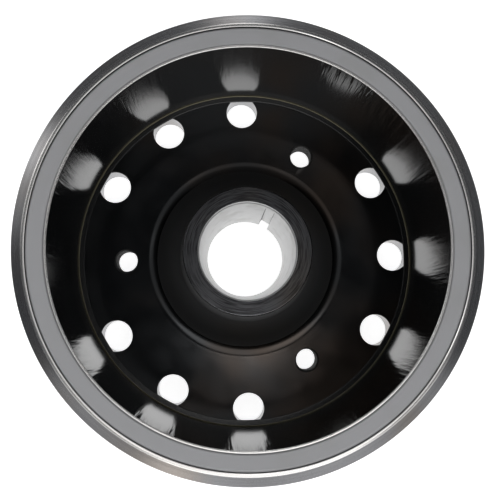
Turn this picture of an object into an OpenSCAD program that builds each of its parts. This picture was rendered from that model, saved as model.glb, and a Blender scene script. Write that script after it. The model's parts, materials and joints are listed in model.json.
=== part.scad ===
// Magneto flywheel: the outer rotor of a small engine's alternator.
// A forged steel cup carries twelve arc magnets behind a thin liner, and its hub
// seats on the crankshaft's taper.
//
// Frame: the origin is where the crank axis meets the flat nut-side face, +Z runs
// along the crank axis to the open side, and +Y passes through the keyway.

/* [Cup] */
// Outer diameter of the cup
cup_d = 146; // [120:0.5:180]
// Overall height along the crank axis
cup_h = 66.5; // [55:0.5:90]
// Thickness of the side wall
wall_t = 4.4; // [3.5:0.1:7]
// Thickness of the web that closes the cup
web_t = 10.7; // [8:0.1:14]
// Radial width of the bevel round the open rim
rim_bevel_w = 3.7; // [1:0.1:4]
// Axial height of the bevel round the open rim
rim_bevel_h = 1.5; // [0.5:0.1:3]
// Chamfer on the inner corner of the open rim
rim_inner_chamfer = 0.3; // [0.1:0.1:0.6]
// Chamfer between the side wall and the nut-side face
back_chamfer = 2; // [0.5:0.1:4]

/* [Hub] */
// Diameter of the hub's end face, before its edge is broken
hub_face_d = 43.8; // [40:0.1:54]
// Height of the hub's end face above the nut-side face
hub_h = 43; // [32:0.5:50]
// Draft of the hub's side, in degrees
hub_draft = 5; // [2:0.5:12]
// Radius of the fillet where the hub's side runs into the web
hub_foot_r = 13; // [6:0.5:16]
// Chamfer on the edge of the hub's end face
hub_edge = 0.4; // [0.2:0.1:1]

/* [Crank seat] */
// Diameter of the taper at the hub's end face
taper_large_d = 32.6; // [26:0.1:36]
// Length over which the taper's diameter shrinks by 1
taper_ratio = 8; // [5:0.5:12]
// Chamfer at the mouth of the taper
mouth_chamfer = 0.5; // [0.2:0.1:1]
// Diameter of the recess for the nut and its washer
nut_recess_d = 38; // [34:0.5:44]
// Depth of that recess
nut_recess_depth = 7.3; // [4:0.1:9]
// Width of the keyway
keyway_w = 3.5; // [3:0.1:6]
// Distance from the crank axis to the keyway's floor, which runs parallel to the axis
keyway_floor = 16.1; // [14.5:0.1:19]

/* [Holes in the web] */
// Places for holes, evenly spaced round the web
hole_places = 12; // [6:3:18]
// Tapped puller holes, evenly spaced on places of their own
puller_count = 3; // [3:3:3]
// Diameter of each puller hole, the core of a 3/8-16 UNC thread
puller_d = 7.9; // [6:0.1:9.5]
// Diameter of the circle through the puller holes
puller_pcd = 88.4; // [84:0.1:94]
// Diameter of each lightening hole
lightening_d = 11.5; // [8:0.1:14]
// Web left between a lightening hole and the liner's wall
lightening_inset = 0.6; // [0.2:0.1:3]

/* [Magnets] */
// Number of magnets
magnet_count = 12; // [12:2:12]
// Radial thickness of a magnet
magnet_t = 5.8; // [4:0.1:8]
// Width of the cage's rib between two magnets
rib_w = 2.4; // [1.5:0.1:4]
// Height of the cage's base ring, which keeps the magnets off the web
cage_base_h = 3; // [2:0.1:6]

/* [Liner and end ring] */
// Thickness of the liner
liner_t = 0.8; // [0.5:0.1:1.5]
// Width of the liner's inward lip, which lies on the web
lip_w = 2.3; // [1:0.1:4]
// Chamfer on the liner's front edge
liner_edge = 0.3; // [0.1:0.1:0.4]
// Thickness of the ring that closes the magnets' front ends
end_ring_t = 2; // [1:0.1:4]
// Depth of the end ring's face below the rim
end_ring_recess = 0.15; // [0.05:0.05:0.5]
// Chamfer on the end ring's inner corner
end_ring_chamfer = 0.5; // [0.2:0.1:0.8]

/* [Timing pads] */
// Places for timing pads round the side wall, of which one is left empty
pad_places = 12; // [8:1:24]
// Width of a pad round the wall
pad_w = 6; // [4:0.5:10]
// Length of a pad along the crank axis
pad_l = 20; // [10:0.5:30]
// Height of a pad above the side wall
pad_h = 1.5; // [0.5:0.1:2.5]
// Distance from the open rim to the pads
pad_offset = 14; // [10:0.5:20]

/* [Hidden] */

$fn = 180;
cut = 1;  // how far a cutter runs past the surface that it opens

cup_r = cup_d / 2;
pocket_r = cup_r - wall_t;
liner_outer_r = pocket_r - magnet_t;
liner_inner_r = liner_outer_r - liner_t;
web_face = web_t;

hub_face_r = hub_face_d / 2;
// The foot fillet is tangent to the web and to the drafted side. Its centre stands
// on the web's normal through the tangent point, one radius above the web.
foot_z = web_face + hub_foot_r;
foot_top_z = foot_z - hub_foot_r * sin(hub_draft);
foot_top_r = hub_face_r + (hub_h - foot_top_z) * tan(hub_draft);
foot_r = foot_top_r + hub_foot_r * cos(hub_draft);

// The taper's radius at a height above the nut-side face
function taper_r(z) = (taper_large_d - (hub_h - z) / taper_ratio) / 2;
taper_small_r = taper_r(nut_recess_depth);
taper_mouth_r = taper_r(hub_h - mouth_chamfer);

place_step = 360 / hole_places;
puller_step = 360 / puller_count;
keyway_angle = 90;
lightening_r = liner_inner_r - lightening_inset - lightening_d / 2;
// A place holds a lightening hole unless a puller hole has it.
lightening_angles = [
    for (i = [0 : hole_places - 1])
        if ((i * place_step) % puller_step != 0) keyway_angle + i * place_step
];

end_ring_top = cup_h - end_ring_recess;
magnet_base = web_face + cage_base_h;
magnet_top = end_ring_top - end_ring_t;
magnet_step = 360 / magnet_count;
empty_pad_angle = keyway_angle + 180;
pad_step = 360 / pad_places;

function magnet_name(i) = str("magnet_", i < 10 ? "0" : "", i);

// Everything between two radii, flat
module annulus(inner_r, outer_r) {
    difference() {
        circle(r = outer_r);
        circle(r = inner_r);
    }
}

// A bar of width w from the centre outwards, flat
module spoke(w, angle) {
    rotate(angle) translate([0, -w / 2]) square([cup_r * 2, w]);
}

// Half of the cup's section, with the taper and the nut's recess in it
module cup_section() {
    difference() {
        polygon([
            [0, 0],
            [cup_r - back_chamfer, 0],
            [cup_r, back_chamfer],
            [cup_r, cup_h - rim_bevel_h],
            [cup_r - rim_bevel_w, cup_h],
            [pocket_r + rim_inner_chamfer, cup_h],
            [pocket_r, cup_h - rim_inner_chamfer],
            [pocket_r, web_face],
            [foot_top_r, web_face],
            [foot_top_r, foot_top_z],
            [hub_face_r, hub_h - hub_edge],
            [hub_face_r - hub_edge, hub_h],
            [0, hub_h],
        ]);
        polygon([
            [-cut, -cut],
            [nut_recess_d / 2, -cut],
            [nut_recess_d / 2, nut_recess_depth],
            [taper_small_r, nut_recess_depth],
            [taper_mouth_r, hub_h - mouth_chamfer],
            [taper_mouth_r + 2 * mouth_chamfer, hub_h + mouth_chamfer],
            [-cut, hub_h + mouth_chamfer],
        ]);
    }
    foot_section();
}

// The metal under the foot fillet: a triangle with the fillet's circle taken out
module foot_section() {
    difference() {
        polygon([
            [foot_top_r - cut, web_face - cut],
            [foot_r, web_face - cut],
            [foot_r, web_face],
            [foot_r, foot_z],
            [foot_top_r, foot_top_z],
            [foot_top_r - cut, foot_top_z],
        ]);
        translate([foot_r, foot_z]) circle(r = hub_foot_r);
    }
}

module timing_pads() {
    translate([0, 0, cup_h - pad_offset - pad_l]) linear_extrude(pad_l)
        intersection() {
            annulus(cup_r - wall_t / 2, cup_r + pad_h);
            for (i = [1 : pad_places - 1]) spoke(pad_w, empty_pad_angle + i * pad_step);
        }
}

// The forged and turned steel cup: side wall, web, hub and timing pads in one piece
module rotor_cup() {
    color("#55565a") difference() {
        union() {
            rotate_extrude() cup_section();
            timing_pads();
        }
        for (angle = lightening_angles) rotate(angle) translate([lightening_r, 0, -cut])
            cylinder(d = lightening_d, h = web_t + 2 * cut);
        for (i = [0 : puller_count - 1]) rotate(keyway_angle + i * puller_step)
            translate([puller_pcd / 2, 0, -cut]) cylinder(d = puller_d, h = web_t + 2 * cut);
        rotate(keyway_angle) translate([0, -keyway_w / 2, nut_recess_depth - cut])
            cube([keyway_floor, keyway_w, hub_h + mouth_chamfer]);
    }
}

// The thin black can over the magnets, with a lip that lies on the web
module magnet_liner() {
    color("#101113") rotate_extrude() polygon([
        [liner_inner_r - lip_w, web_face],
        [liner_outer_r, web_face],
        [liner_outer_r, cup_h],
        [liner_inner_r + liner_edge, cup_h],
        [liner_inner_r, cup_h - liner_edge],
        [liner_inner_r, web_face + liner_t + liner_edge],
        [liner_inner_r - liner_edge, web_face + liner_t],
        [liner_inner_r - lip_w, web_face + liner_t],
    ]);
}

// The moulded cage that spaces the magnets: a base ring with a rib in each gap
module magnet_cage() {
    color("#2b2a28") {
        translate([0, 0, web_face]) linear_extrude(cage_base_h)
            annulus(liner_outer_r, pocket_r);
        translate([0, 0, magnet_base]) linear_extrude(magnet_top - magnet_base)
            intersection() {
                annulus(liner_outer_r, pocket_r);
                for (i = [0 : magnet_count - 1]) spoke(rib_w, (i + 0.5) * magnet_step);
            }
    }
}

// One arc magnet. Its sides lie along the flat sides of the ribs next to it.
module magnet(i) {
    half = magnet_step / 2;
    apex = rib_w / 2 / sin(half);
    color(i % 2 == 0 ? "#4c4d52" : "#5a5b60") rotate((i - 1) * magnet_step)
        translate([0, 0, magnet_base]) linear_extrude(magnet_top - magnet_base)
            intersection() {
                annulus(liner_outer_r, pocket_r);
                polygon([
                    [apex, 0],
                    [apex + cup_d * cos(half), -cup_d * sin(half)],
                    [apex + cup_d * cos(half), cup_d * sin(half)],
                ]);
            }
}

// The flat ring that closes the magnets' front ends
module end_ring() {
    color("#8c8c8e") rotate_extrude() polygon([
        [liner_outer_r, magnet_top],
        [pocket_r, magnet_top],
        [pocket_r, end_ring_top - rim_inner_chamfer],
        [pocket_r - rim_inner_chamfer, end_ring_top],
        [liner_outer_r + end_ring_chamfer, end_ring_top],
        [liner_outer_r, end_ring_top - end_ring_chamfer],
    ]);
}

rotor_cup();
magnet_liner();
magnet_cage();
end_ring();
for (i = [1 : magnet_count]) magnet(i);
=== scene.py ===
# %% [markdown]
# # A magneto flywheel
# This part is the outer rotor of a small engine's alternator: a forged steel cup with a
# tapered, keyed hub, and twelve magnets bonded round its wall behind a thin black liner.
# The CAD model is loaded first and stays as it is. It gives every size and place, so the
# pieces made here lie exactly where the solids that they stand for lie.

# %% Load the frame
import json
import math

import bmesh
import bpy
from mathutils import Matrix, Vector

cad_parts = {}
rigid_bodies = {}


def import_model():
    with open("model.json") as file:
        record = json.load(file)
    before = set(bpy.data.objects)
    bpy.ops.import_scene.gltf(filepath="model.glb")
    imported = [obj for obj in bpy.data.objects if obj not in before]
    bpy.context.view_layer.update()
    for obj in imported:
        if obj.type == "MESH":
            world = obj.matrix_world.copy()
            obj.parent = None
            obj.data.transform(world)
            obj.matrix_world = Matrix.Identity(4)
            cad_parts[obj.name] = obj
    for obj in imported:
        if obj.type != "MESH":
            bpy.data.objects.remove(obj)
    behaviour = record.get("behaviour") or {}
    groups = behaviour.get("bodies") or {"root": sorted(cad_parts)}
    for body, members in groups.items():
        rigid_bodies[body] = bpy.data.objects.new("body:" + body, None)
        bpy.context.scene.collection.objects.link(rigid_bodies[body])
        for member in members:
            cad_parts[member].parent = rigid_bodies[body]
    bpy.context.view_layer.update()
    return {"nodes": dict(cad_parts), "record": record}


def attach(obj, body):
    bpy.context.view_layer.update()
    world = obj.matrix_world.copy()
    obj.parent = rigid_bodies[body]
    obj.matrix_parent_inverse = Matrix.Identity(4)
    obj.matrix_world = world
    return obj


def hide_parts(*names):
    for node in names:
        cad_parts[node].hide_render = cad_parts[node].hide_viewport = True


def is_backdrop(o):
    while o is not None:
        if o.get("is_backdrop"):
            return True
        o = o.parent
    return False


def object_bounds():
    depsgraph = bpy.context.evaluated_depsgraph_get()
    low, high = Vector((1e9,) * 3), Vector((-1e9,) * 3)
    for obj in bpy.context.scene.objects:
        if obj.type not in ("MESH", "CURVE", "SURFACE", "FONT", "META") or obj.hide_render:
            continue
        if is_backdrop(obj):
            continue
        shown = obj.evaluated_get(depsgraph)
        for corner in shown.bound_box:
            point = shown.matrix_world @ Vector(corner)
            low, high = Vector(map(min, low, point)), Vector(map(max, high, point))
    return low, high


for leftover in list(bpy.data.objects):
    bpy.data.objects.remove(leftover)
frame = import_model()
mm = 0.001
turn = 2 * math.pi

# %% [markdown]
# ## Reading the sizes
# A turned part is a section spun round its axis, so all that matters about a corner is
# its distance from the axis and its height. Both are read from the CAD mesh's own
# corners. Typing the sizes in again would also work, but then there would be two sets of
# numbers to keep equal.

# %% Corners of a CAD piece
close = 0.02


def points_of(node):
    """A CAD node's corners in millimetres."""
    return [v.co / mm for v in frame["nodes"][node].data.vertices]


def corners(node):
    """Each (radius, height) at which a CAD node has a corner, in millimetres."""
    return sorted({(round(math.hypot(p.x, p.y), 2), round(p.z, 2)) for p in points_of(node)})


cup = corners("rotor_cup")
liner_corners = corners("magnet_liner")
ring_corners = corners("end_ring")
mounts = {mount["name"]: mount for mount in frame["record"]["mounts"]}


def radii_at(z):
    """The radii at which the cup's section has a corner at height z."""
    return [r for r, corner_z in cup if abs(corner_z - z) < close]


# %% Sizes of the cup
height = max(z for r, z in cup)
web = min(z for r, z in liner_corners)
pad_r = max(r for r, z in cup)
pad_low = min(z for r, z in cup if r == pad_r)
pad_high = max(z for r, z in cup if r == pad_r)
cup_r, bevel_z = max(corner for corner in cup if corner[1] > pad_high)
bevel_r, rim_r = max(radii_at(height)), min(radii_at(height))
back_r = max(radii_at(0))
pocket_r = max(r for r, z in ring_corners)
print("cup", cup_r, "high", height, "web", web, "bevel", bevel_r, bevel_z, "pocket", pocket_r)

# %% Sizes of the hub, its seat and the holes
hub_top = round(mounts["crank_taper"]["pos_m"][2] / mm, 2)
recess_r = mounts["nut_recess"]["dims"]["r_mm"]
recess_depth = mounts["nut_recess"]["dims"]["length_mm"]
puller_r = mounts["puller_holes"]["dims"]["hole_r_mm"]
puller_circle = mounts["puller_holes"]["dims"]["pcd_mm"] / 2
puller_count = mounts["puller_holes"]["dims"]["count"]
# Circles just inside and just outside the puller holes, which part them from the hub
# and from the lightening holes.
puller_near, puller_far = puller_circle - puller_r - 1, puller_circle + puller_r + 1
mouth_r, hub_r = min(radii_at(hub_top)), max(radii_at(hub_top))
taper_large, taper_z = max((r, z) for r, z in cup if r < mouth_r - close and z > web)
taper_small = min(radii_at(recess_depth))
hub_side = [(r, z) for r, z in cup if hub_r < r < puller_circle - puller_r and z > web + close]
(edge_r, edge_z), (side_r, side_z) = sorted(hub_side)[:2]
draft = (side_r - edge_r) / (edge_z - side_z)
heel_r = edge_r + draft * (edge_z - web)
foot_r = max(r for r in radii_at(web) if r < puller_near)
print("hub", hub_r, "top", hub_top, "heel", round(heel_r, 2), "foot", foot_r)
print("seat", mouth_r, taper_large, taper_z, taper_small)

# %% Sizes of the liner and the end ring
liner_r = max(r for r, z in liner_corners)
lip_r = min(r for r, z in liner_corners)
lip_z = max(z for r, z in liner_corners if r == lip_r)
wall_r = min(r for r, z in liner_corners if z > lip_z + 1)
ring_low = min(z for r, z in ring_corners)
ring_top = max(z for r, z in ring_corners)
print("liner", liner_r, wall_r, "lip", lip_r, lip_z, "ring", ring_low, ring_top)

# %% [markdown]
# ## The lathe
# Everything turned is made as on a lathe. A closed section is drawn as a wire, its corners
# are rounded with a vertex bevel, and the wire is spun all the way round. A stack of
# cylinders would have the same outline, but none of its edges would catch the light, and a
# broken edge is what makes steel look like steel.

# %% Spin a section


def lathe(section, steps=360, centre=(0, 0)):
    """A bmesh in millimetres, spun from a loop of (radius, height, rounding, segments)."""
    bm = bmesh.new()
    loop = [bm.verts.new((centre[0] + r, centre[1], z)) for r, z, *rounding in section]
    for a, b in zip(loop, loop[1:] + loop[:1]):
        bm.edges.new((a, b))
    for vert, (r, z, *rounding) in zip(loop, section):
        if rounding:
            bmesh.ops.bevel(bm, geom=[vert], offset=rounding[0], segments=rounding[1],
                            profile=0.5, affect="VERTICES", material=-1)
    bmesh.ops.spin(bm, geom=bm.verts[:] + bm.edges[:], cent=(*centre, 0), axis=(0, 0, 1),
                   angle=turn, steps=steps, use_merge=True)
    bmesh.ops.remove_doubles(bm, verts=bm.verts, dist=0.0005)
    bmesh.ops.recalc_face_normals(bm, faces=bm.faces)
    return bm


def make_object(name, *meshes):
    """One object in metres from bmeshes in millimetres."""
    joined = bmesh.new()
    for bm in meshes:
        part = bpy.data.meshes.new("part")
        bm.to_mesh(part)
        bm.free()
        joined.from_mesh(part)
        bpy.data.meshes.remove(part)
    bmesh.ops.scale(joined, vec=(mm, mm, mm), verts=joined.verts)
    mesh = bpy.data.meshes.new(name)
    joined.to_mesh(mesh)
    joined.free()
    made = bpy.data.objects.new(name, mesh)
    bpy.context.scene.collection.objects.link(made)
    return made


# %% Cut one object with another, or join it on


def apply_modifiers(piece):
    """Turns what the modifiers show into the piece's own mesh."""
    bpy.context.view_layer.update()
    graph = bpy.context.evaluated_depsgraph_get()
    mesh = bpy.data.meshes.new_from_object(piece.evaluated_get(graph))
    piece.modifiers.clear()
    piece.data = mesh


def combine(piece, tool, operation):
    """Cuts tool out of piece, or joins it on, and removes tool."""
    boolean = piece.modifiers.new("boolean", "BOOLEAN")
    boolean.object, boolean.operation, boolean.solver = tool, operation, "EXACT"
    apply_modifiers(piece)
    bpy.data.objects.remove(tool)
    # A cut can leave two corners in one place, and a seam between them stays open.
    bm = bmesh.new()
    bm.from_mesh(piece.data)
    bmesh.ops.remove_doubles(bm, verts=bm.verts, dist=0.001 * mm)
    bm.to_mesh(piece.data)
    bm.free()


# %% [markdown]
# ## The cup
# Side wall, web and hub are one forging, turned inside and out. Its section is listed
# from the nut's recess round the outside and down into the cup. The long fillet at the
# hub's foot is one corner with a large rounding, which reaches from the corner to the
# place where the CAD section leaves the web. It could also be an arc of points, but the
# bevel works the arc out by itself.

# %% Turn the cup
rim_chamfer = rim_r - pocket_r
rim_rounding = 0.6
cup_piece = make_object("cup", lathe([
    (recess_r, 0, 0.3, 3),
    (back_r, 0, 0.6, 4),
    (cup_r, cup_r - back_r, 0.6, 4),
    (cup_r, bevel_z, 0.25, 4),
    (bevel_r, height, rim_rounding, 8),
    (rim_r, height, 0.1, 2),
    (pocket_r, height - rim_chamfer, 0.1, 2),
    (pocket_r, web),
    (heel_r, web, foot_r - heel_r, 24),
    (edge_r, edge_z, 0.15, 2),
    (hub_r, hub_top, 0.15, 2),
    (mouth_r, hub_top, 0.3, 4),
    (taper_large, taper_z, 0.3, 3),
    (taper_small, recess_depth, 0.1, 2),
    (recess_r, recess_depth, 0.3, 3),
]))
print("cup", len(cup_piece.data.polygons), "faces")

# %% [markdown]
# ## Timing pads
# The pads on the side wall are what the ignition's pick-up counts. The real wall is turned
# between them, so they are left standing on it. Here each pad is a block with rounded
# edges, joined to the wall. The place opposite the keyway has no pad, so the CAD's corners
# are counted round from there, and no pad is split in two.

# %% Find groups of corners round the axis
keyway_place = turn / 4


def groups(points, empty_place, gap=math.radians(6)):
    """(middle angle, half width in radians) of each run of points round the axis."""
    angles = sorted((math.atan2(p.y, p.x) - empty_place) % turn for p in points)
    starts = [b for a, b in zip([-turn] + angles, angles) if b - a > gap]
    ends = [a for a, b in zip(angles, angles[1:] + [2 * turn]) if b - a > gap]
    return [((a + b) / 2 + empty_place, (b - a) / 2) for a, b in zip(starts, ends)]


pad_points = [p for p in points_of("rotor_cup") if math.hypot(p.x, p.y) > pad_r - close]
pads = groups(pad_points, empty_place=keyway_place + turn / 2)
pad_w = 2 * pad_r * math.sin(pads[0][1])
print(len(pads), "pads,", round(pad_w, 2), "wide")

# %% Raise the pads
pad_root = 2.5
pad_rounding = 0.45
blocks = []
for angle, half_width in pads:
    bm = bmesh.new()
    bmesh.ops.create_cube(bm, size=1)
    sides = (pad_r - cup_r + pad_root, pad_w, pad_high - pad_low)
    bmesh.ops.scale(bm, vec=sides, verts=bm.verts)
    bmesh.ops.bevel(bm, geom=bm.edges[:], offset=pad_rounding, segments=3, profile=0.5,
                    affect="EDGES", material=-1)
    middle = ((pad_r + cup_r - pad_root) / 2, 0, (pad_low + pad_high) / 2)
    bmesh.ops.translate(bm, vec=middle, verts=bm.verts)
    bmesh.ops.rotate(bm, cent=(0, 0, 0), matrix=Matrix.Rotation(angle, 3, "Z"), verts=bm.verts)
    blocks.append(bm)
combine(cup_piece, make_object("pads", *blocks), "UNION")

# %% [markdown]
# ## Holes
# Nine lightening holes stand beside the liner, and three tapped holes take a puller's
# screws. A drilled edge is always broken, so each cutter flares where it meets a face.
# A picture of a thread would do from afar, but these threads are cut with a real helix: a
# small tooth, carried round and up by a spin that also moves along its axis.

# %% Find the lightening holes
hole_points = [p for p in points_of("rotor_cup") if abs(p.z) < close
               and puller_far < math.hypot(p.x, p.y) < back_r - close]
reach = [math.hypot(p.x, p.y) for p in hole_points]
hole_r, hole_circle = (max(reach) - min(reach)) / 2, (max(reach) + min(reach)) / 2
hole_angles = [angle for angle, half_width in groups(hole_points, empty_place=keyway_place)]
puller_angles = [keyway_place + i * turn / puller_count for i in range(puller_count)]
print(len(hole_angles), "lightening holes, radius", round(hole_r, 2),
      "on", round(hole_circle, 2))

# %% Drill the web


def drill(radius, circle, angle, flare, steps):
    """A drill through the web that flares at both faces."""
    past = 1.0
    return lathe([
        (0.0, -past),
        (radius + flare + past, -past),
        (radius, flare),
        (radius, web - flare),
        (radius + flare + past, web + past),
        (0.0, web + past),
    ], steps, (circle * math.cos(angle), circle * math.sin(angle)))


cutters = [drill(hole_r, hole_circle, angle, 0.35, 96) for angle in hole_angles]
cutters += [drill(puller_r, puller_circle, angle, 0.55, 64) for angle in puller_angles]
combine(cup_piece, make_object("drills", *cutters), "DIFFERENCE")
print(len(cutters), "holes drilled")

# %% Cut the threads
pitch = 25.4 / 16
thread_depth = 0.8
tooth_root, tooth_crest = 0.62, 0.1  # half of the tooth's width at the wall and at its tip
thread_steps = 36


def tap(angle):
    """A tooth just inside the hole's wall, carried round and up through the web."""
    x, y = puller_circle * math.cos(angle), puller_circle * math.sin(angle)
    inner, outer = puller_r - 0.15, puller_r + thread_depth
    bm = bmesh.new()
    tooth = [bm.verts.new((x + r, y, z - 2 * pitch))
             for r, z in ((inner, -tooth_root), (outer, -tooth_crest),
                          (outer, tooth_crest), (inner, tooth_root))]
    bm.faces.new(tooth)
    turns = math.ceil(web / pitch) + 4
    bmesh.ops.spin(bm, geom=bm.verts[:] + bm.edges[:] + bm.faces[:], cent=(x, y, 0),
                   axis=(0, 0, 1), dvec=(0, 0, pitch / thread_steps), angle=turns * turn,
                   steps=turns * thread_steps)
    bmesh.ops.recalc_face_normals(bm, faces=bm.faces)
    return bm


combine(cup_piece, make_object("taps", *[tap(angle) for angle in puller_angles]), "DIFFERENCE")
print(puller_count, "threads cut, pitch", round(pitch, 3))

# %% [markdown]
# ## The keyway
# The keyway is broached through the taper. A broach leaves a small radius in the slot's
# two inner corners, so the cutter is a bar with those two edges rounded. The slot's width
# and floor are read where it meets the floor of the nut's recess.

# %% Cut the keyway
slot_points = [p for p in points_of("rotor_cup") if abs(p.z - recess_depth) < close
               and math.hypot(p.x, p.y) < recess_r - 1]
slot_corner = max(slot_points, key=lambda p: math.hypot(p.x, p.y))
key_floor, key_w = slot_corner.y, 2 * abs(slot_corner.x)
low, high = recess_depth - 1, hub_top + 2
bm = bmesh.new()
bmesh.ops.create_cube(bm, size=1)
bmesh.ops.scale(bm, vec=(key_w, key_floor, high - low), verts=bm.verts)
bmesh.ops.translate(bm, vec=(0, key_floor / 2, (low + high) / 2), verts=bm.verts)
slot_roots = [e for e in bm.edges if all(v.co.y > key_floor / 2 for v in e.verts)
              and abs(e.verts[0].co.z - e.verts[1].co.z) > 1]
bmesh.ops.bevel(bm, geom=slot_roots, offset=0.25, segments=4, profile=0.5,
                affect="EDGES", material=-1)
combine(cup_piece, make_object("broach", bm), "DIFFERENCE")
print("keyway", round(key_w, 2), "wide, floor at", round(key_floor, 2))

# %% [markdown]
# ## The liner and the end ring
# The liner is a drawn can with a lip that lies on the web. The ring closes the gap over
# the magnets. Both are round, so both are spun. The ring's outer corner is rounded more
# than the others: the shadow in that groove is what shows the two as separate pieces.

# %% Spin the liner and the end ring
corner_rounding = 0.35
liner = make_object("liner", lathe([
    (lip_r, web, 0.1, 2),
    (liner_r, web),
    (liner_r, height, 0.12, 3),
    (wall_r, height, 0.3, 6),
    (wall_r, lip_z, corner_rounding, 8),
    (lip_r, lip_z, 0.3, 5),
]))
ring = make_object("ring", lathe([
    (liner_r, ring_low),
    (pocket_r, ring_low),
    (pocket_r, ring_top, 1.1, 8),
    (liner_r, ring_top, 0.8, 8),
]))
print("liner", len(liner.data.polygons), "faces, ring", len(ring.data.polygons))

# %% [markdown]
# ## Materials
# Colours are given as sRGB hex values, and one function turns them to linear. Each
# pattern's scale comes from a real size in millimetres. Patterns could be pictures, but
# nodes stay sharp at any distance and need no unwrapping.

# %% Helpers for nodes


def colour(hex_value):
    """Linear RGBA from an sRGB hex value."""
    channels = [int(hex_value[i:i + 2], 16) / 255 for i in (1, 3, 5)]
    return (*[c / 12.92 if c <= 0.04045 else ((c + 0.055) / 1.055) ** 2.4 for c in channels], 1)


def add(tree, kind, inputs=None, **properties):
    """Adds a node. Each input gets a value, or the output that it is linked to."""
    node = tree.nodes.new(kind)
    for name, value in properties.items():
        setattr(node, name, value)
    for name, value in (inputs or {}).items():
        if isinstance(value, bpy.types.NodeSocket):
            tree.links.new(value, node.inputs[name])
        else:
            node.inputs[name].default_value = value
    return node


def new_material(name, inputs):
    """A material, its node tree, its shader and its object coordinates in metres."""
    material = bpy.data.materials.new(name)
    material.use_nodes = True
    tree = material.node_tree
    tree.nodes.clear()
    shader = add(tree, "ShaderNodeBsdfPrincipled", inputs)
    add(tree, "ShaderNodeOutputMaterial", {"Surface": shader.outputs["BSDF"]})
    place = add(tree, "ShaderNodeTexCoord").outputs["Object"]
    return material, tree, shader, place


# %% [markdown]
# ## Tool marks
# A lathe tool leaves fine grooves that run round the axis, and no groove is even all the
# way round. So the noise is stretched round the axis: one of its directions is the
# distance from the axis plus the height, and the other two are the direction from the
# axis, which changes slowly. The result has no seam, which an angle would have.

# %% Coordinates round the axis


def tool_marks(tree, place, groove_mm, breaks):
    """Coordinates whose noise is groove_mm wide, and broken about breaks times a turn."""
    split = add(tree, "ShaderNodeSeparateXYZ", {"Vector": place})
    flat = add(tree, "ShaderNodeCombineXYZ", {"X": split.outputs["X"], "Y": split.outputs["Y"]})
    radius = add(tree, "ShaderNodeVectorMath", {0: flat.outputs[0]}, operation="LENGTH")
    compass = add(tree, "ShaderNodeVectorMath", {0: flat.outputs[0]}, operation="NORMALIZE")
    slow = add(tree, "ShaderNodeVectorMath", {0: compass.outputs[0], "Scale": breaks / 6},
               operation="SCALE")
    along = add(tree, "ShaderNodeMath", {0: radius.outputs["Value"], 1: split.outputs["Z"]})
    fine = add(tree, "ShaderNodeMath", {0: along.outputs[0], 1: 1 / (groove_mm * mm)},
               operation="MULTIPLY")
    upright = add(tree, "ShaderNodeCombineXYZ", {"Z": fine.outputs[0]})
    both = add(tree, "ShaderNodeVectorMath", {0: slow.outputs[0], 1: upright.outputs[0]})
    return both.outputs[0]


def tint(tree, place, patch_mm, first, second):
    """A colour that drifts between two hex values in patches of about patch_mm."""
    noise = add(tree, "ShaderNodeTexNoise", {"Vector": place, "Scale": 1 / (patch_mm * mm),
                                             "Detail": 2.0, "Roughness": 0.45})
    spread = add(tree, "ShaderNodeMapRange", {"Value": noise.outputs["Fac"], "From Min": 0.48,
                                              "From Max": 0.72},
                 interpolation_type="SMOOTHSTEP")
    mixed = add(tree, "ShaderNodeMixRGB", {"Fac": spread.outputs[0], "Color1": colour(first),
                                           "Color2": colour(second)})
    return mixed.outputs["Color"]


# %% [markdown]
# ## Steel finishes
# The cup is one piece of carbon steel with several finishes. Where it is turned last it
# is bare and bright. The web and the hub's side were turned and then blackened, which
# leaves a thin oxide film: near black, with faint brown and violet tints where the film is
# thinner. A coat of paint would hide those tints, so the film is a dark metal here.

# %% Bare turned steel


def turned_steel(name, first, second, roughness, groove_mm, depth, breaks=6, darkest=0.85):
    """Bare steel with grooves round the axis. It gives the eye long soft streaks."""
    material, tree, shader, place = new_material(name, {"Metallic": 1.0,
                                                        "Roughness": roughness})
    marks = tool_marks(tree, place, groove_mm, breaks)
    noise = add(tree, "ShaderNodeTexNoise", {"Vector": marks, "Scale": 1.0, "Detail": 3.0})
    bump = add(tree, "ShaderNodeBump", {"Height": noise.outputs["Fac"], "Strength": depth,
                                        "Distance": 0.05 * mm})
    tone = add(tree, "ShaderNodeMapRange", {"Value": noise.outputs["Fac"], "From Min": 0.38,
                                            "From Max": 0.56, "To Min": darkest, "To Max": 1.0})
    drift = tint(tree, place, 40, first, second)
    base = add(tree, "ShaderNodeMixRGB", {"Fac": 1.0, "Color1": drift,
                                          "Color2": tone.outputs[0]}, blend_type="MULTIPLY")
    tree.links.new(bump.outputs[0], shader.inputs["Normal"])
    tree.links.new(base.outputs["Color"], shader.inputs["Base Color"])
    return material


# Feed marks on the wall are about 0.2 mm apart, and are drawn twice as wide to show.
side_steel = turned_steel("turned_carbon_steel", "#8c8c8e", "#88827d", 0.26, 0.45, 0.25)
# The broken edge of the rim is bare and catches every lamp; its colour is much lighter than the
# wall's, a painted highlight on the rounding.
bright_edge_painted_highlight = turned_steel("bare_steel_edge_painted_highlight", "#dedcda", "#d2cfcc", 0.24, 0.45, 0.15)
# The hub's end face is faced with a coarse feed and then wiped, so its rings are broken.
# Its feed of about 0.3 mm is drawn twice as wide, or it would blur to an even grey.
face_steel = turned_steel("faced_steel", "#4f4f51", "#4e463d", 0.3, 0.3, 0.5, 18, darkest=0.3)

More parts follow.
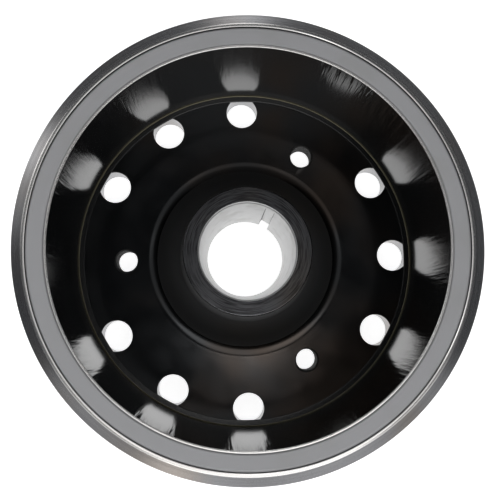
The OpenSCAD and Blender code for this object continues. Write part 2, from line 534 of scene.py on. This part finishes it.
# %% Ground taper
# The seat is ground, which leaves a satin grey with faint mottling and no direction.
ground_steel, tree, shader, place = new_material("ground_steel", {"Metallic": 1.0})
mottle = add(tree, "ShaderNodeTexNoise", {"Vector": place, "Scale": 1 / (1.6 * mm),
                                          "Detail": 4.0, "Roughness": 0.6})
rough = add(tree, "ShaderNodeMapRange", {"Value": mottle.outputs["Fac"], "From Min": 0.3,
                                         "From Max": 0.7, "To Min": 0.42, "To Max": 0.56})
bump = add(tree, "ShaderNodeBump", {"Height": mottle.outputs["Fac"], "Strength": 0.25,
                                    "Distance": 0.05 * mm})
tree.links.new(rough.outputs[0], shader.inputs["Roughness"])
tree.links.new(bump.outputs[0], shader.inputs["Normal"])
tree.links.new(tint(tree, place, 6, "#d2d2d2", "#c4c4c3"), shader.inputs["Base Color"])

# %% Black oxide
painted_shade_rise = 18  # height above the web, in mm, up to which the painted shade at the foot fades out


def black_oxide(name, first, second, metallic, roughness, depth, foot=1.0):
    """Blackened steel. It gives the eye a deep black with faint tints; foot sets a painted
    shade that darkens it towards the web.
    """
    material, tree, shader, place = new_material(name, {"Metallic": metallic})
    level = add(tree, "ShaderNodeSeparateXYZ", {"Vector": place})
    # Painted shade: the colour darkens towards the web, down to foot at the web itself.
    foot_shade = add(tree, "ShaderNodeMapRange", {"Value": level.outputs["Z"], "From Min": web * mm,
                                            "From Max": (web + painted_shade_rise) * mm,
                                            "To Min": foot, "To Max": 1.0})
    drift = tint(tree, place, 38, first, second)
    base = add(tree, "ShaderNodeMixRGB", {"Fac": 1.0, "Color1": drift,
                                          "Color2": foot_shade.outputs[0]}, blend_type="MULTIPLY")
    tree.links.new(base.outputs["Color"], shader.inputs["Base Color"])
    marks = tool_marks(tree, place, 0.5, 4)
    noise = add(tree, "ShaderNodeTexNoise", {"Vector": marks, "Scale": 1.0, "Detail": 3.0})
    bump = add(tree, "ShaderNodeBump", {"Height": noise.outputs["Fac"], "Strength": depth,
                                        "Distance": 0.02 * mm})
    smear = add(tree, "ShaderNodeTexNoise", {"Vector": place, "Scale": 1 / (9 * mm),
                                             "Detail": 3.0})
    rough = add(tree, "ShaderNodeMapRange", {"Value": smear.outputs["Fac"], "From Min": 0.3,
                                             "From Max": 0.7, "To Min": roughness - 0.03,
                                             "To Max": roughness + 0.03})
    tree.links.new(bump.outputs[0], shader.inputs["Normal"])
    tree.links.new(rough.outputs[0], shader.inputs["Roughness"])
    return material


# The web is turned to a finish before it is blackened, so it stays satin.
web_oxide = black_oxide("black_oxide_satin", "#353637", "#403934", 1.0, 0.15, 0.2)
# The hub's side keeps more of the forging's scale, which scatters light like a stone.
# Its colour is darkened towards the foot, to near black at the web: painted shade in the corner
# between hub and web.
hub_oxide_and_shade = black_oxide("black_oxide_scale_painted_shade", "#989899", "#99948f", 0.5, 0.5, 0.2, foot=0.02)
# The keyway's walls and the threads are darkened: painted shade in the slot and the holes,
# along with the oil and dirt that they hold, which hides the metal's own shine.
oily_oxide_and_shade = black_oxide("black_oxide_oily_painted_shade", "#2a2a2a", "#2c2a28", 0.2, 0.5, 0.1)

# %% [markdown]
# ## The other finishes
# The liner is drawn sheet steel under gloss black paint. Drawing leaves fine ripples
# along the axis, strongest near the open end where the sheet was held. They are too
# shallow to see by themselves, but they comb the reflections of the holes into streaks.
# The end ring is zinc plated in a dull bath. Its grain scatters light to all sides, so it
# is the same grey all the way round, and only part of it mirrors as a metal does.

# %% Gloss black paint over drawn steel
paint, tree, shader, place = new_material("gloss_black_paint", {
    "Base Color": colour("#060606"), "Roughness": 0.15, "IOR": 1.6})
stretch = add(tree, "ShaderNodeMapping", {"Vector": place, "Scale": (1, 1, 0.06)})
ripple = add(tree, "ShaderNodeTexNoise", {"Vector": stretch.outputs[0], "Scale": 1 / (1.7 * mm),
                                          "Detail": 2.0})
level = add(tree, "ShaderNodeSeparateXYZ", {"Vector": place})
strength = add(tree, "ShaderNodeMapRange", {"Value": level.outputs["Z"], "From Min": 30 * mm,
                                            "From Max": height * mm, "To Min": 0.05,
                                            "To Max": 0.8})
bump = add(tree, "ShaderNodeBump", {"Height": ripple.outputs["Fac"],
                                    "Strength": strength.outputs[0], "Distance": 0.3 * mm})
tree.links.new(bump.outputs[0], shader.inputs["Normal"])

# %% Painted highlight for the liner's inner corner
corner_painted_highlight = new_material("corner_painted_highlight_line", {"Base Color": colour("#77725f"), "Metallic": 0.8,
                                        "Roughness": 0.4})[0]

# %% Zinc plating
plating, tree, shader, place = new_material("dull_zinc_plating", {
    "Metallic": 0.3, "Roughness": 0.7})
grain = add(tree, "ShaderNodeTexNoise", {"Vector": place, "Scale": 1 / (0.6 * mm),
                                         "Detail": 3.0})
bump = add(tree, "ShaderNodeBump", {"Height": grain.outputs["Fac"], "Strength": 0.12,
                                    "Distance": 0.03 * mm})
tree.links.new(bump.outputs[0], shader.inputs["Normal"])
tree.links.new(tint(tree, place, 14, "#b2b2b4", "#afafb0"), shader.inputs["Base Color"])

# %% [markdown]
# The magnets and their cage lie behind the liner, where only their CAD shapes are needed.
# They still get their own finish: sintered ferrite is dull dark grey with a fine grain,
# and the cage is glass-filled nylon, moulded and left matt.

# %% Finishes behind the liner


def grainy(name, base, metallic, roughness, grain_mm, depth):
    """A dull surface with an even fine grain."""
    material, tree, shader, place = new_material(name, {"Metallic": metallic,
                                                        "Roughness": roughness})
    noise = add(tree, "ShaderNodeTexNoise", {"Vector": place, "Scale": 1 / (grain_mm * mm),
                                             "Detail": 4.0})
    bump = add(tree, "ShaderNodeBump", {"Height": noise.outputs["Fac"], "Strength": depth,
                                        "Distance": 0.05 * mm})
    tree.links.new(bump.outputs[0], shader.inputs["Normal"])
    tree.links.new(tint(tree, place, 8, *base), shader.inputs["Base Color"])
    return material


ferrite = grainy("sintered_ferrite", ("#3d3d42", "#45454a"), 0.4, 0.55, 0.3, 0.3)
nylon = grainy("moulded_nylon", ("#1c1c1c", "#222120"), 0.0, 0.6, 0.5, 0.2)

# %% Give each face of the cup its finish
finishes = [web_oxide, hub_oxide_and_shade, oily_oxide_and_shade, side_steel, bright_edge_painted_highlight, face_steel, ground_steel]
for material in finishes:
    cup_piece.data.materials.append(material)
fillet_band = 3.9  # width of the satin film round the web's end of the foot fillet
counts = dict.fromkeys(finishes, 0)
for polygon in cup_piece.data.polygons:
    x, y, z = polygon.center / mm
    r = math.hypot(x, y)
    in_web = close < z < web - close and puller_near < r < wall_r
    # The keyway's side walls are painted dark: painted shadow in the slot.
    slot_wall_painted_shade = y > 0 and abs(x) > key_w / 2 - 0.2 and abs(polygon.normal.x) > 0.5
    in_a_thread = in_web and r < puller_far
    if in_a_thread or r < mouth_r and slot_wall_painted_shade and abs(x) < key_w:
        finish = oily_oxide_and_shade
    elif r < mouth_r:
        finish = ground_steel
    elif z > edge_z and hub_r - close < r < edge_r + close:
        finish = side_steel
    elif z > edge_z and r < hub_r:
        finish = face_steel
    elif r < foot_r - fillet_band and z > web:
        finish = hub_oxide_and_shade
    # The rim's rounding takes the light edge colour: a painted highlight.
    elif abs(r - bevel_r) < rim_rounding and z > bevel_z:
        finish = bright_edge_painted_highlight
    elif r > rim_r - close or z < close or in_web:
        finish = side_steel
    else:
        finish = web_oxide
    polygon.material_index = finishes.index(finish)
    counts[finish] += 1
for material, count in counts.items():
    print(material.name, count, "faces")

# %% Give the other pieces theirs, and smooth them
# The liner is trimmed after it is painted, so its front edge is bare, and it takes the light
# edge colour, which is partly a painted highlight. The sharp corner over its lip is given a
# pale metal colour: a painted highlight that shows as a thin line.
for material in (paint, bright_edge_painted_highlight, corner_painted_highlight):
    liner.data.materials.append(material)
for polygon in liner.data.polygons:
    x, y, z = polygon.center / mm
    if z > height - 0.2:
        polygon.material_index = 1
    # The corner over the lip gets the pale colour: a painted highlight.
    elif z < lip_z + corner_rounding and wall_r - corner_rounding < math.hypot(x, y) < wall_r:
        polygon.material_index = 2
ring.data.materials.append(plating)
for name, node in frame["nodes"].items():
    node.data.materials.clear()
    node.data.materials.append(nylon if name == "magnet_cage" else ferrite)


def shade(piece, sharp_degrees=35):
    """Smooth shading that keeps flats flat and corners crisp."""
    piece.data.shade_smooth()
    piece.data.set_sharp_from_angle(angle=math.radians(sharp_degrees))
    flats = piece.modifiers.new("flats", "WEIGHTED_NORMAL")
    flats.keep_sharp, flats.weight = True, 100
    apply_modifiers(piece)


for piece in (cup_piece, liner, ring):
    shade(piece)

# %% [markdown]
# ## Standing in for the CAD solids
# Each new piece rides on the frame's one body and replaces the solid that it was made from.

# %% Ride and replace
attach(cup_piece, "root")
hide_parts("rotor_cup")
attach(liner, "root")
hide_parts("magnet_liner")
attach(ring, "root")
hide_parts("end_ring")

# %% [markdown]
# ## The table
# The flywheel lies on a white light table in a round pale cove. The table glows, so the
# holes are white right through, and the bore and the holes' walls are lit from below. A
# floor and four walls would work too, but their corners would show in the polished
# steel, so the floor bends up into the wall in one curve.

# %% Spin the cove
cove_r, cove_high, cove_bend = 1600, 600, 350  # mm
bm = bmesh.new()
path = [bm.verts.new(place) for place in ((0, 0, 0), (cove_r, 0, 0), (cove_r, 0, cove_high))]
for a, b in zip(path, path[1:]):
    bm.edges.new((a, b))
bmesh.ops.bevel(bm, geom=[path[1]], offset=cove_bend, segments=16, profile=0.5,
                affect="VERTICES", material=-1)
bmesh.ops.spin(bm, geom=bm.verts[:] + bm.edges[:], cent=(0, 0, 0), axis=(0, 0, 1), angle=turn,
               steps=96, use_merge=True)
bmesh.ops.remove_doubles(bm, verts=bm.verts, dist=0.01)
cove = make_object("light_table", bm)
cove.data.shade_smooth()

# %% [markdown]
# The cove glows most under the flywheel, where it shows through the holes, and fades
# outwards, so that surfaces which mirror its far parts stay darker.

# %% The cove's glow
near_glow, far_glow = 0.9, 0.42
glow_from, glow_to = 0.3, 1.2  # metres from the axis
white, tree, shader, place = new_material("white_acrylic", {
    "Base Color": colour("#e8e8e8"), "Roughness": 0.9, "Emission Color": colour("#ffffff")})
distance = add(tree, "ShaderNodeVectorMath", {0: place}, operation="LENGTH")
glow = add(tree, "ShaderNodeMapRange", {
    "Value": distance.outputs["Value"], "From Min": glow_from, "From Max": glow_to,
    "To Min": near_glow, "To Max": far_glow}, interpolation_type="SMOOTHSTEP")
tree.links.new(glow.outputs[0], shader.inputs["Emission Strength"])
cove.data.materials.append(white)
cove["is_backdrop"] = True

# %% [markdown]
# ## Lamps
# Polished black surfaces show nothing but what they mirror. The web and the rim face
# straight up, so the space above stays dark but for one small lamp, and they stay black
# and grey. Softboxes stand in a ring round that dark patch, which the fillet at the hub's
# foot mirrors as a narrow pale circle. A large one leans in from the near side. The lamps
# further down light the rim's bevel, and three tall strips stand lowest of all. Each is
# given a brightness, and its power follows from its size.

# %% Hang the softboxes
view_turn = 28.8
lamp_distance = 1.1


def softbox(name, azimuth, tilt, side, brightness, tall=1):
    """A lamp, tilt degrees off the vertical, that faces the cup's mouth."""
    light = bpy.data.lights.new(name, "AREA")
    light.shape, light.size, light.size_y = "RECTANGLE", side, side * tall
    light.energy = brightness * math.pi * side ** 2 * tall
    lamp = bpy.data.objects.new(name, light)
    lamp.visible_camera = False
    a, t = math.radians(azimuth + view_turn), math.radians(tilt)
    away = Vector((math.sin(t) * math.cos(a), math.sin(t) * math.sin(a), math.cos(t)))
    lamp.location = Vector((0, 0, height * mm)) + away * lamp_distance
    lamp.rotation_euler = away.to_track_quat("Z", "Y").to_euler()
    bpy.context.scene.collection.objects.link(lamp)


softbox("top_lamp", 315, 2.8, 0.13, 4.0)
softbox("near_lamp", 275, 32, 0.85, 1.5)
for i, azimuth in enumerate((0, 45, 90, 135, 180)):
    softbox("ring_lamp_%d" % i, azimuth, 26, 0.4, 0.42)
for i, azimuth in enumerate((225, 315)):
    softbox("side_lamp_%d" % i, azimuth, 28, 0.4, 0.5)
for i, azimuth in enumerate((225, 258, 290, 318)):
    softbox("bevel_lamp_%d" % i, azimuth, 60, 0.5, 0.7)
softbox("far_lamp", 158, 60, 0.4, 0.6)
for i, azimuth in enumerate((90, 150, 250)):
    softbox("strip_lamp_%d" % i, azimuth, 74, 0.2, 1.6, tall=4)

# %% Dim room
world = bpy.data.worlds.new("room")
bpy.context.scene.world = world
world.use_nodes = True
room = world.node_tree.nodes["Background"]
room.inputs["Color"].default_value = colour("#8a8d92")
room.inputs["Strength"].default_value = 0.22

# %% [markdown]
# ## Camera
# The camera looks almost straight down into the cup, a little from the near side, with
# the keyway towards the upper right. Its distance sets how much of the inner wall shows.

# %% Place the camera
camera = bpy.data.objects.new("camera", bpy.data.cameras.new("camera"))
bpy.context.scene.collection.objects.link(camera)
bpy.context.scene.camera = camera
camera.data.lens, camera.data.sensor_width = 57.6, 36
eye_aside, eye_above_rim = (-8.24, -22.31), 243.45
spin = Matrix.Rotation(math.radians(view_turn), 3, "Z")
forward = (spin @ Vector((0.0335, 0.0848, -0.9958))).normalized()
right = forward.cross(spin @ Vector((0, 0.9965, 0.0840))).normalized()
up = right.cross(forward)
camera.rotation_euler = Matrix((right, up, -forward)).transposed().to_euler()
camera.location = spin @ Vector((*eye_aside, height + eye_above_rim)) * mm
bpy.context.scene.view_settings.view_transform = "Standard"

# %% Write the sizes and finish
low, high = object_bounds()
print("visual box in mm:", [round(v / mm, 2) for v in (*low, *high)])
